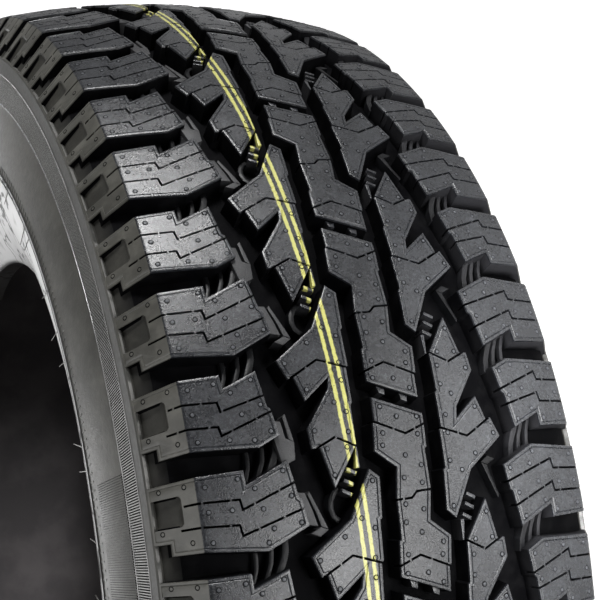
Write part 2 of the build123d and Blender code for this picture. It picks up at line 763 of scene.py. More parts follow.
@dataclass(frozen=True)
class BlockForm:
    """Flat form of one tread block, with its corners as (across, along) in millimetres."""

    outline: Outline
    sipes: tuple[Outline, ...] = ()
    pockets: tuple[Outline, ...] = ()
    vents: Outline = ()
    draft: float = 0.9
    edge_bevel: float = 0.55
    rim_width: float = 0.9
    line_width: float = 0.4
    line_depth: float = 0.42
    line_rise: float = 0.336
    root: float = 1.5
    blade_above: float = 3.0
    sipe_width: float = 1.2
    sipe_depth: float = 7.5
    sipe_run: float = 12.5
    sipe_bridge: float = 0.8
    pocket_depth: float = 6.4
    pocket_round: float = 1.8
    bend_along: float = 7.0
    bend_across: float = 12.0
    skin: float = 1.3

    def blank(self, depth: float) -> BMesh:
        """The block with drafted walls, rounded edges and its fine edge line.

        Args:
            depth: how far its walls go down.

        Returns:
            A closed flat mesh.
        """
        work = bmesh.new()
        top = new_outline(work, self.outline, 0.0)
        low = sink(work, top, depth)
        moves = {}
        for corner in low:
            first, second = (f.normal for f in corner.link_faces if abs(f.normal.z) < 0.5)
            moves[corner] = (first + second) * (self.draft / (1 + first.dot(second)))
        for corner, move in moves.items():
            corner.co += move
        bmesh.ops.bevel(work, geom=list(top.edges), offset=self.edge_bevel, segments=2, profile=0.5,
                        affect="EDGES", material=-1)
        top = max(work.faces, key=lambda face: face.calc_area() * (face.normal.z > 0.99))
        for width, rise in ((self.rim_width, 0.0), (self.line_width, -self.line_depth),
                            (self.line_width, self.line_rise)):
            bmesh.ops.inset_region(work, faces=[top], thickness=width, depth=rise,
                                   use_even_offset=True, use_boundary=True)
        bmesh.ops.recalc_face_normals(work, faces=work.faces)
        return work

    def sipe_runs(self, sipe: Outline) -> list[list[Point]]:
        """Breaks a sipe into runs with thin bridges of rubber between them.

        Args:
            sipe: the sipe's line.

        Returns:
            The runs, each a line of its own.
        """
        runs: list[list[Point]] = [[sipe[0]]]
        left = self.sipe_run
        for start, end in zip(sipe, sipe[1:]):
            length = math.dist(start, end)
            done = 0.0
            while length - done > left + self.sipe_bridge:
                for step in (left, self.sipe_bridge):
                    done += step
                    share = done / length
                    point = tuple(a + (b - a) * share for a, b in zip(start, end))
                    runs[-1].append(point) if step == left else runs.append([point])
                left = self.sipe_run
            left = max(self.sipe_run / 3, left - (length - done))
            runs[-1].append(end)
        return runs

    def blades(self) -> BMesh:
        """The thin blades that cut the sipes and the blocks that sink the pockets.

        Returns:
            Closed flat shapes.
        """
        work = bmesh.new()
        above = self.blade_above
        for sipe in self.sipes:
            for run in self.sipe_runs(sipe):
                points = [work.verts.new((along, across, above)) for across, along in run]
                edges = [work.edges.new(pair) for pair in zip(points, points[1:])]
                made = bmesh.ops.extrude_edge_only(work, edges=edges)["geom"]
                low = [item for item in made if isinstance(item, bmesh.types.BMVert)]
                sheet = [item for item in made if isinstance(item, bmesh.types.BMFace)]
                bmesh.ops.translate(work, verts=low, vec=(0, 0, -above - self.sipe_depth))
                bmesh.ops.solidify(work, geom=sheet, thickness=self.sipe_width)
        for pocket in self.pockets:
            inner, outer = (pick(across for across, _ in pocket) for pick in (min, max))
            low = sink(work, new_outline(work, pocket, above), above)
            for corner in low:
                share = (corner.co.y - inner) / (outer - inner)
                corner.co.z -= self.pocket_depth * (0.5 + 0.5 * share)
            rim = {edge for corner in low for edge in corner.link_edges if edge.other_vert(corner) in low}
            bmesh.ops.bevel(work, geom=list(rim), offset=self.pocket_round, segments=3, profile=0.5,
                            affect="EDGES", material=-1)
        bmesh.ops.recalc_face_normals(work, faces=work.faces)
        return work

    def carved(self, profile: TreadProfile, side: Side) -> BMesh:
        """The finished block, rolled round the axle at its first place.

        Args:
            profile: the tread that it stands on.
            side: which side of the tread it is on.

        Returns:
            One block in the tyre's frame.
        """
        work = self.blank(profile.depth + self.root)
        if self.sipes or self.pockets:
            work = carve(work, self.blades())
        alongs = [along for _, along in self.outline]
        acrosses = [across for across, _ in self.outline]
        slice_flat(work, Vector((1, 0, 0)), spread(min(alongs), max(alongs), self.bend_along))
        places = spread(min(acrosses), max(acrosses), self.bend_across)
        edge, rounding = profile.half_tread, profile.edge_round
        if max(acrosses) > edge:
            places += [edge + rounding * share for share in (-1, -0.5, 0, 0.5, 1)]
        slice_flat(work, Vector((0, 1, 0)), places)
        slice_flat(work, Vector((0, 0, 1)), (-self.skin,))
        bmesh.ops.remove_doubles(work, verts=work.verts, dist=1e-4)
        self.dress_walls(work, profile)
        mark_lift(work, profile.depth)
        if side is Side.LOWER:
            half_turn(work)
        profile.roll(work)
        return work

    def dress_walls(self, work: BMesh, profile: TreadProfile) -> None:
        """Gives the walls below the block's skin and the sipes the groove's finish, and the pockets the
        recess's finish; both are darker as painted shade.

        Args:
            work: the block as flat work.
            profile: the tread that it stands on.
        """
        work.normal_update()
        for face in work.faces:
            centre = face.calc_center_median()
            lowest = min(vert.co.z for vert in face.verts)
            in_pocket = centre.y > profile.half_tread and lowest > -self.pocket_depth - 0.1
            if centre.z < -self.skin and in_pocket and abs(face.normal.x) < 0.7:
                face.material_index = Zone.POCKET
            elif centre.z < -self.skin:
                face.material_index = Zone.GROOVE
            elif centre.z > -self.edge_bevel and 0.2 < face.normal.z < 0.97 and self.on_rim(centre):
                face.material_index = Zone.TOP

    def on_rim(self, place: Vector) -> bool:
        """Tells whether a place lies on the rounded rim of the block's top.

        Args:
            place: the place in flat work.

        Returns:
            True on the rim.
        """
        ends = zip(self.outline, self.outline[1:] + self.outline[:1])
        point = Vector((place.y, place.x))
        for start, end in ends:
            nearest, share = intersect_point_line(point, Vector(start), Vector(end))
            if 0 <= share <= 1 and (nearest.to_2d() - point).length < self.edge_bevel:
                return True
        return False


def spread(low: float, high: float, step: float) -> list[float]:
    """Evenly spread places strictly between two ends, about a step apart."""
    count = max(1, round((high - low) / step))
    return [low + (high - low) * index / count for index in range(1, count)]


def ribbon(line: Outline, half_thick: float) -> Outline:
    """Outline of a strip along a centre line.

    Args:
        line: the centre line's places.
        half_thick: half the strip's width.

    Returns:
        The strip's corners, up one side and down the other.
    """
    points = [Vector(point) for point in line]
    left, right = [], []
    for index, point in enumerate(points):
        ahead = points[min(index + 1, len(points) - 1)] - points[max(index - 1, 0)]
        aside = Vector((-ahead.y, ahead.x)).normalized() * half_thick
        left.append(tuple(point + aside))
        right.append(tuple(point - aside))
    return tuple(left + right[::-1])


def turned(outline: Outline) -> Outline:
    """An outline or a set of places turned half round the middle of the pattern."""
    return tuple((-across, -along) for across, along in outline)


@dataclass
class Tread:
    """The tread's blocks, its vent marks and the small ribs in its grooves."""

    profile: TreadProfile
    rubber: Material
    shoulder_rubber: Material
    shaded_groove_rubber: Material
    highlight_rubber: Material
    shaded_recess_rubber: Material
    shaded_rib_rubber: Material
    vent_radius: float = 1.5
    vent_sink: float = 0.05
    vent_corners: int = 9
    rib_root: float = 1.0
    bend_reach: float = 64.0
    bend_step: float = 8.0
    shelf_top: float = 2.8
    rail_top: float = 3.2
    low_rail_top: float = 5.4
    shelf_bevel: float = 0.35
    # painted shade: the shelves and rails sit dimmer in the groove
    shelf_bright: float = 0.62

    @property
    def finishes(self) -> tuple[Material, ...]:
        """The materials of the blocks, in the order of their zones."""
        return self.rubber, self.shoulder_rubber, self.shaded_groove_rubber, self.highlight_rubber, self.shaded_recess_rubber

    def centre(self) -> BlockForm:
        """The zigzag block in the middle of the crown.

        Returns:
            The block's form.
        """
        half = ((-13.2, -49.8), (13.5, -38.7), (13.2, -32.8), (11.9, -21.6), (10.8, -21.2), (10.0, -1.4),
                (6.9, 13.8), (17.4, 22.8), (15.4, 36.6), (14.3, 37.4))
        chevron = ((-16.5, -37.6), (1.5, -29.0), (14.5, -33.2))
        jog = ((-11.5, 1.4), (-1.6, 1.4), (1.6, -1.4), (11.5, -1.4))
        marks = ((-9.6, -44.4), (9.8, -37.4), (-1.6, -38.6), (-11.0, -31.2), (8.2, -28.6), (-12.4, -25.2),
                 (-1.0, -19.0), (6.8, -13.2), (-4.0, -8.2), (5.6, -4.6))
        return BlockForm(half + turned(half), (chevron, jog, turned(chevron)), (), marks + turned(marks))

    def middle(self) -> BlockForm:
        """The forked block beside the middle row.

        Returns:
            The block's form.
        """
        outline = ((22.1, 15.0), (17.1, 10.3), (19.3, -9.4), (20.5, -10.2), (21.6, -29.4), (22.8, -30.4),
                   (23.9, -48.6), (25.0, -49.4), (26.3, -69.4), (41.3, -89.0), (45.2, -68.8), (49.5, -68.4),
                   (49.9, -58.5), (47.4, -55.5), (34.9, -40.0), (33.4, -34.2), (48.0, -44.8), (51.3, -32.2),
                   (54.4, -32.7), (58.0, -22.5), (35.8, -7.7))
        upper = ((24.5, -70.4), (36.6, -63.6), (51.0, -69.6))
        lower = ((20.0, -30.6), (37.5, -24.0), (53.5, -32.0))
        vents = ((40.4, -82.5), (31.4, -69.9), (41.8, -69.4), (29.2, -62.6), (46.4, -60.0), (28.2, -52.6),
                 (33.4, -47.2), (27.0, -36.6), (46.0, -39.2), (26.0, -27.4), (54.2, -24.6), (40.2, -15.4),
                 (24.0, -13.4), (30.2, -8.0), (21.4, 9.0))
        return BlockForm(outline, (upper, lower), (), vents)

    def long_lug(self) -> BlockForm:
        """The longer of the two shoulder lugs.

        Returns:
            The block's form.
        """
        return self.lug(
            inner=((62.5, 24.7), (59.9, 6.4), (58.4, 5.2), (56.9, -7.7)),
            upper_bend=(78.0, -16.7), outer_low=-12.8, outer_high=23.1,
            lower_bend=((84.5, 23.0), (84.3, 15.8)),
            sipes=(((56.0, 2.2), (88.7, -6.9), (89.5, -1.9), (108.0, -0.3), (119.5, -0.3)),
                   ((57.0, 15.7), (87.1, 5.3), (87.9, 10.0), (108.0, 11.1), (116.2, 11.1))),
            vents=((60.6, -5.6), (77.6, -12.6), (103.4, -8.8), (74.2, -6.4), (63.6, 7.6), (78.0, 3.4),
                   (103.6, 5.6), (92.6, 5.0), (65.8, 20.0), (80.6, 13.6), (88.0, 19.2), (103.6, 17.6)),
        )

    def short_lug(self) -> BlockForm:
        """The shorter of the two shoulder lugs.

        Returns:
            The block's form.
        """
        return self.lug(
            inner=((69.5, 70.5), (67.4, 52.0), (66.0, 50.8), (64.0, 37.2)),
            upper_bend=(74.9, 32.5), outer_low=35.4, outer_high=71.3,
            lower_bend=((87.4, 71.0), (87.1, 63.8)),
            sipes=(((61.5, 51.3), (91.3, 41.6), (92.1, 46.0), (108.0, 47.0), (119.5, 47.0)),
                   ((63.8, 59.2), (89.8, 53.3), (90.5, 58.0), (108.0, 59.3), (116.2, 59.3))),
            vents=((68.0, 39.6), (76.6, 36.4), (103.4, 39.4), (88.4, 38.2), (70.6, 53.2), (80.4, 49.8),
                   (103.6, 53.2), (72.8, 66.2), (83.8, 61.2), (91.0, 66.8), (103.6, 65.8)),
        )

    def lug(self, inner: Outline, upper_bend: Point, outer_low: float, outer_high: float,
            lower_bend: Outline, sipes: tuple[Outline, ...], vents: Outline) -> BlockForm:
        """A shoulder lug that goes over the tread's edge and down to its foot.

        Args:
            inner: its inner end, from the lower corner to the upper one.
            upper_bend: where its upper wall bends.
            outer_low: place of its upper wall at the tread's edge, along the tread.
            outer_high: place of its lower wall at the tread's edge, along the tread.
            lower_bend: the notch in its lower wall, from outside to inside.
            sipes: its two sipes, which run over the edge.
            vents: its vent marks on the crown.

        Returns:
            The lug's form, with a notch and a pocket in its sloped face.
        """
        foot = self.profile.foot
        edge = self.profile.half_tread
        notch_start, notch_along = foot - 10.6, 6.2
        outline = (*inner, upper_bend, (edge, outer_low), (notch_start, outer_low),
                   (notch_start, outer_low + notch_along), (foot, outer_low + notch_along),
                   (foot, outer_high), (edge, outer_high), *lower_bend)
        low, high, near, far = outer_high - 22.2, outer_high - 7.0, edge + 9.6, foot - 1.6
        corner = 1.4
        pocket = ((near + corner, low), (far, low), (far, high), (near + corner, high),
                  (near, high - corner), (near, low + corner))
        slope_vents = ((edge + 6.4, outer_low + 5.4), (edge + 23.0, outer_low + 11.6),
                       (edge + 7.0, outer_high - 3.4), (edge + 22.0, outer_high - 3.2))
        return BlockForm(outline, sipes, (pocket,), vents + slope_vents)

    def build_blocks(self) -> None:
        """Makes the rows of blocks."""
        rows = {
            "centre_blocks": ((self.centre(),), Side.UPPER),
            "middle_blocks_upper": ((self.middle(),), Side.UPPER),
            "middle_blocks_lower": ((self.middle(),), Side.LOWER),
            "shoulder_lugs_upper": ((self.long_lug(), self.short_lug()), Side.UPPER),
            "shoulder_lugs_lower": ((self.long_lug(), self.short_lug()), Side.LOWER),
        }
        for name, (forms, side) in rows.items():
            row = bmesh.new()
            for form in forms:
                join(row, form.carved(self.profile, side))
            self.dress_slopes(row)
            repeat_round(row, PITCH_COUNT)
            set_piece(name, row, self.finishes)

    def dress_slopes(self, row: BMesh) -> None:
        """Gives the faces past the tread's edge the shoulder's finish.

        Args:
            row: a rolled row of blocks or marks.
        """
        edge = self.profile.half_tread + self.profile.edge_round * 0.4
        limit = abs(self.profile.surface(edge).y) * MM
        for face in row.faces:
            on_surface = face.material_index in (Zone.TOP, Zone.EDGE)
            if on_surface and abs(face.calc_center_median().z) > limit:
                face.material_index = Zone.SLOPE

    def build_vents(self) -> None:
        """Makes the small round vent marks on the blocks."""
        marks = bmesh.new()
        for side in Side:
            flat = bmesh.new()
            forms = [self.middle(), self.long_lug(), self.short_lug()]
            if side is Side.UPPER:
                forms.append(self.centre())
            for form in forms:
                for across, along in form.vents:
                    self.vent(flat, across, along)
            mark_lift(flat, self.profile.depth)
            if side is Side.LOWER:
                half_turn(flat)
            self.profile.roll(flat)
            join(marks, flat)
        self.dress_slopes(marks)
        repeat_round(marks, PITCH_COUNT)
        set_piece("vent_marks", marks, self.finishes)

    def vent(self, flat: BMesh, across: float, along: float) -> None:
        """Adds one vent mark to flat work: a round stub with a painted highlight, in a ring of painted
        shade.

        Args:
            flat: the flat work.
            across: its place across the tread.
            along: its place along the tread.
        """
        place = Matrix.Translation((along, across, -self.vent_sink))
        made = bmesh.ops.create_circle(flat, cap_ends=True, radius=self.vent_radius,
                                       segments=self.vent_corners, matrix=place)
        face = made["verts"][0].link_faces[0]
        if face.normal.z < 0:
            face.normal_flip()
        # the moat and the stub's side take the groove's near-black rubber, a painted shade
        lip, moat, stub = (0.06, 0.09, Zone.TOP), (0.34, 0.0, Zone.GROOVE), (0.14, 0.07, Zone.GROOVE)
        for width, height, zone in (lip, moat, stub):
            ring = bmesh.ops.inset_region(flat, faces=[face], thickness=width, depth=height,
                                          use_even_offset=True, use_boundary=True)
            for wall in ring["faces"]:
                wall.material_index = zone
        # the middle takes the lighter rubber of the painted highlight
        face.material_index = Zone.EDGE

    def build_ribs(self) -> None:
        """Makes the fins, shelves, ribs and nubs in the grooves."""
        rows = {
            "groove_fins": (self.fins, tuple(Side), self.shaded_rib_rubber),
            "groove_shelves": (self.shelves, (Side.UPPER,), self.rubber),
            "groove_rails": (self.low_rails, (Side.LOWER,), self.shaded_rib_rubber),
            "fork_ribs": (self.fork_ribs, tuple(Side), self.rubber),
            "fork_cups": (self.cups, (Side.UPPER,), self.shaded_rib_rubber),
            "slot_nubs": (self.slot_nubs, (Side.UPPER,), self.rubber),
        }
        for name, (maker, sides, finish) in rows.items():
            ribs = bmesh.new()
            for side in sides:
                flat = bmesh.new()
                maker(flat)
                bends = spread(-self.bend_reach, self.bend_reach, self.bend_step)
                slice_flat(flat, Vector((1, 0, 0)), bends)
                if side is Side.LOWER:
                    half_turn(flat)
                self.profile.roll(flat)
                join(ribs, flat)
            repeat_round(ribs, PITCH_COUNT)
            set_piece(name, ribs, (finish,))

    def rib(self, flat: BMesh, outline: Outline, top: float, bevel: float = 0.5,
            fall: float = 0.0, bright: float = 1.0) -> None:
        """Adds one low rib to flat work.

        Args:
            flat: the flat work.
            outline: the rib's corners as (across, along).
            top: its height below the tread's surface.
            bevel: how far its upper edges are rounded.
            fall: how much lower its far end along the tread is.
            bright: how bright its top is, from the groove's 0 to the tread's 1; it scales the lift, so below
                1 the rib takes painted shade.
        """
        work = bmesh.new()
        face = new_outline(work, outline, -top)
        height = self.profile.depth + self.rib_root - top
        sink(work, face, height)
        bmesh.ops.bevel(work, geom=list(face.edges), offset=bevel, segments=2, profile=0.5,
                        affect="EDGES", material=-1)
        lift = work.verts.layers.float.new("lift")
        start, end = (pick(along for _, along in outline) for pick in (min, max))
        for vert in work.verts:
            share = max(0.0, 1 + (vert.co.z + top) / height)
            vert[lift] = share * bright
            vert.co.z -= fall * share * (vert.co.x - start) / (end - start)
        join(flat, work)

    def fins(self, flat: BMesh) -> None:
        """Three curved fins in each groove between two lugs.

        Args:
            flat: the flat work.
        """
        lines = ((((73.0, -28.6), (69.4, -21.4), (68.1, -18.0), (67.2, -11.0)), 1.7, 3.8),
                 (((79.2, -31.0), (75.4, -22.6), (74.4, -18.0), (74.0, -13.0)), 1.2, 5.0),
                 (((85.6, -33.4), (82.4, -25.0), (81.6, -20.0), (81.4, -14.6)), 1.1, 6.2))
        for across, along in ((0.0, 0.0), (-3.0, 49.2)):
            for line, half_thick, top in lines:
                moved = tuple((x + across, y + along) for x, y in line)
                self.rib(flat, ribbon(moved, half_thick), top, bevel=0.6, fall=2.6)

    def shelves(self, flat: BMesh) -> None:
        """Slotted shelves at the inner ends of the lugs, beside the shoulder groove.

        Args:
            flat: the flat work.
        """
        by_short_lug = ((66.5, 45.0), (61.4, 44.2), (60.4, 35.6), (56.4, 33.2), (57.4, 24.6), (64.0, 22.0),
                        (66.5, 38.0))
        by_long_lug = ((60.5, 9.0), (55.6, 8.0), (53.0, -1.4), (51.4, -8.6), (57.5, -7.0))
        short_rail = ((58.4, 47.6), (60.0, 46.2), (58.9, 35.0), (56.4, 33.0))
        for outline in (by_short_lug, by_long_lug, short_rail):
            self.rib(flat, outline, self.shelf_top, self.shelf_bevel, bright=self.shelf_bright)
        self.rails(flat, self.rail_top)

    def low_rails(self, flat: BMesh) -> None:
        """The same rails further down in the groove of the lower side."""
        self.rails(flat, self.low_rail_top)

    def rails(self, flat: BMesh, top: float) -> None:
        """Slanting rails past the inner ends of the long lugs.

        Args:
            flat: the flat work.
            top: their height below the tread's surface.
        """
        long_rail = ((53.2, 8.6), (54.4, 7.0), (51.4, -2.3), (49.8, -9.0), (46.3, -10.8), (48.2, -5.2))
        end_bar = ((46.3, -11.0), (49.8, -9.2), (55.4, -11.6), (51.0, -13.8))
        for outline in (long_rail, end_bar):
            self.rib(flat, outline, top, self.shelf_bevel, bright=self.shelf_bright)

    def fork_ribs(self, flat: BMesh) -> None:
        """Three short ribs and a pin in the slanting groove between two forked blocks.

        Args:
            flat: the flat work.
        """
        centres = ((30.2, 15.2), (32.6, 10.0), (34.4, 5.2))
        reach, half_thick = Vector((2.5, 1.5)), Vector((-0.5, 0.84))
        for centre in centres:
            middle = Vector(centre)
            corners = (middle - reach - half_thick, middle + reach - half_thick,
                       middle + reach + half_thick, middle - reach + half_thick)
            self.rib(flat, tuple((c.x, c.y) for c in corners), top=2.6, bevel=0.6)
        self.rib(flat, ((25.2, 26.6), (26.2, 26.6), (27.8, 16.2), (25.6, 16.2)), top=2.2, bevel=0.3)

    def cups(self, flat: BMesh) -> None:
        """A round cup at the foot of each set of short ribs."""
        cup = ((36.6, 8.0), (39.6, 6.0), (41.6, 2.6), (42.3, -1.4), (41.4, -5.2), (38.6, -8.2))
        self.rib(flat, ribbon(cup, half_thick=1.6), top=6.0, bevel=1.1)

    def slot_nubs(self, flat: BMesh) -> None:
        """Two tapered nubs on the wall of the slot between two centre blocks.

        Args:
            flat: the flat work.
        """
        for across, along in ((-6.2, -46.4), (5.6, -41.5)):
            outline = ((across - 2.4, along - 1.0), (across + 2.4, along + 1.0),
                       (across + 1.6, along - 3.1), (across - 1.6, along - 4.5))
            self.rib(flat, outline, top=2.4)


@dataclass
class Carcass:
    """The round body under the tread: groove floor, sidewalls, beads and liner."""

    profile: TreadProfile
    rubbers: dict[Skin, Material]
    segments: int = 416
    sharp_deg: float = 24.0
    ring_shade: float = 0.5
    floor_half: float = 107.0
    floor_step: float = 12.0
    recess_depth: float = 3.6
    groove_exit_radius: float = 374.0
    ring_outer: Point = (366.0, 124.5)
    band_outer: Point = (355.4, 124.6)
    band_inner: Point = (337.2, 124.9)
    band_sink: float = 0.7
    band_line_rise: float = 0.3
    plain_inner: Point = (305.8, 131.0)
    ridge_outer: Point = (300.4, 131.7)
    ridge_inner: Point = (296.2, 130.0)
    ridge_top: float = HALF_WIDTH - 0.1
    lower_wall: Point = (258.2, 120.5)
    bead_face: Point = (222.8, 101.6)
    heel: Point = (218.3, 97.1)
    toe: Point = (218.3, 85.1)
    liner_toe: Point = (224.0, 85.1)
    liner_widest: Point = (306.1, 123.0)
    liner_shoulder: Point = (356.5, 98.0)
    liner_crown: Point = (373.7, 57.4)

    def arc(self, start: Point, end: Point, bulge: float, steps: int) -> list[Point]:
        """Places along a shallow curve.

        Args:
            start: its first place, which is left out.
            end: its last place.
            bulge: how far it bows to the left of its chord.
            steps: how many places it has.

        Returns:
            The places.
        """
        first, last = Vector(start), Vector(end)
        chord = last - first
        normal = Vector((-chord.y, chord.x)).normalized()
        places = []
        for index in range(1, steps + 1):
            share = index / steps
            point = first + chord * share + normal * (4 * bulge * share * (1 - share))
            places.append((point.x, point.y))
        return places

    def outer_half(self) -> list[Point]:
        """The outer section from the middle of the tread to the bead's toe, as radius and width.

        Returns:
            The section's places.
        """
        profile = self.profile
        places = (0, *spread(0, self.floor_half, self.floor_step), self.floor_half)
        floor = [(profile.surface(across).x - profile.depth, across) for across in places]
        slope = Vector((profile.slope_run, profile.slope_drop)).normalized() * self.recess_depth
        ring = Vector(self.ring_outer)
        rise = profile.slope_run / profile.slope_drop
        foot = ring - slope + Vector((1.2, -1.2 * rise))
        exit_width = foot.y - (self.groove_exit_radius - foot.x) * rise
        section = [*floor, (self.groove_exit_radius, exit_width), (foot.x, foot.y)]
        lip = Vector((ring.x + 0.3, ring.y - 0.9))
        half_step = foot.lerp(lip, 0.35)
        section += [(half_step.x, half_step.y), (lip.x, lip.y), (ring.x - 0.4, ring.y)]
        outer, high = self.band_outer
        line = high + self.band_line_rise
        section += [(outer + 0.9, high), (outer + 0.6, line), (outer, line),
                    (outer - 0.4, high - self.band_sink)]
        inner, wide = self.band_inner
        section += [(inner + 0.6, wide - self.band_sink), (inner + 0.3, wide + 0.55),
                    (inner - 0.5, wide + 0.6), (inner - 0.9, wide)]
        section += self.arc((inner - 0.9, wide), self.plain_inner, -0.55, 8)
        section += [self.ridge_outer]
        section += self.ridge()
        section += self.arc(self.ridge_inner, self.lower_wall, -1.2, 10)
        section += self.arc(self.lower_wall, self.bead_face, -0.9, 8)
        section += self.arc(self.bead_face, self.heel, -0.6, 4)
        return section + [self.toe]

    def ridge(self) -> list[Point]:
        """The bead line at the widest place: a wide strip with a thin line inside it.

        Returns:
            Its places, from outside to inside.
        """
        top, outer, inner = self.ridge_top, self.ridge_outer[0], self.ridge_inner[0]
        gap_floor, line_top = top - 0.6, top - 0.1
        gap = [(inner + 1.9, top), (inner + 1.7, gap_floor), (inner + 1.1, gap_floor)]
        return [(outer - 0.4, top), *gap, (inner + 0.9, line_top), (inner + 0.4, line_top), self.ridge_inner]

    def liner_half(self) -> list[Point]:
        """The inner section from the bead's toe to the middle of the tread.

        Returns:
            The section's places.
        """
        section = [self.liner_toe]
        section += self.arc(self.liner_toe, self.liner_widest, 5.0, 10)
        section += self.arc(self.liner_widest, self.liner_shoulder, 7.0, 8)
        section += self.arc(self.liner_shoulder, self.liner_crown, 3.0, 6)
        return section + [(self.liner_crown[0] + 0.6, 0.0)]

    def build(self) -> None:
        """Spins the section round the axle and gives each zone its rubber."""
        half = self.outer_half() + self.liner_half()
        other = [(radius, -width) for radius, width in reversed(half[1:-1])]
        section = half + other
        work = bmesh.new()
        points = [work.verts.new((radius * MM, 0, width * MM)) for radius, width in section]
        edges = [work.edges.new(pair) for pair in zip(points, points[1:] + points[:1])]
        bmesh.ops.spin(work, geom=points + edges, cent=CENTRE, axis=SPIN_AXIS, dvec=CENTRE,
                       angle=2 * math.pi, steps=self.segments, use_merge=True)
        bmesh.ops.remove_doubles(work, verts=work.verts, dist=1e-6)
        bmesh.ops.recalc_face_normals(work, faces=work.faces)
        self.dress(work)
        set_piece("carcass", work, [self.rubbers[skin] for skin in Skin], self.sharp_deg)

    def dress(self, work: BMesh) -> None:
        """Marks the shade beside the shoulder ring, and gives each zone its own rubber.

        Args:
            work: the spun carcass.
        """
        shade = work.verts.layers.float.new("shade")
        ring, exit_radius = self.ring_outer[0], self.groove_exit_radius
        for vert in work.verts:
            radius = math.hypot(vert.co.x, vert.co.y) / MM
            depth = 0.3 + 0.7 * (radius - ring) / (exit_radius - ring)
            if radius > ring - 2.0 and abs(vert.co.z) / MM < self.ring_outer[1] - 1.0:
                vert[shade] = min(1.0, max(0.0, depth))
            elif self.band_outer[0] - 0.1 < radius < ring + 1.0:
                vert[shade] = self.ring_shade
        for face in work.faces:
            centre = face.calc_center_median()
            outward = face.normal.x * centre.x + face.normal.y * centre.y
            radius = math.hypot(centre.x, centre.y) / MM
            face.material_index = self.skin(face, radius, outward, abs(centre.z) / MM)

    def skin(self, face: bmesh.types.BMFace, radius: float, outward: float, width: float) -> Skin:
        """Tells which zone a face of the carcass belongs to.

        Args:
            face: the face.
            radius: the radius at its middle.
            outward: above 0 where it looks away from the axle.
            width: the distance of its middle from the middle of the tread.

        Returns:
            The zone.
        """
        ring = self.ring_outer[0]
        looks_in = face.normal.z * face.calc_center_median().z <= 0
        if outward > 0 and radius > self.groove_exit_radius:
            return Skin.FLOOR
        # the step and the lines beside the band take the pale rubber of the painted glint
        if outward > 0 and looks_in and abs(radius - ring) < 1.2 and width > self.ring_outer[1] - 2.9:
            return Skin.STEP
        if outward > 0 and radius > ring - 1.2 and width < self.ring_outer[1] - 1.0:
            return Skin.RECESS
        if -0.9 < radius - self.band_inner[0] < 0.6 or -0.1 < radius - self.band_outer[0] < 0.8:
            return Skin.STEP
        # painted shade: the floor between the band's ribs takes the near-black groove rubber
        if not looks_in and self.band_inner[0] + 0.6 < radius < self.band_outer[0] - 0.4:
            return Skin.FLOOR
        if outward < 0 and (radius > self.liner_shoulder[0] or looks_in and radius > self.toe[0] + 1):
            return Skin.LINER
        return Skin.BEAD if radius < self.ridge_outer[0] else Skin.WALL


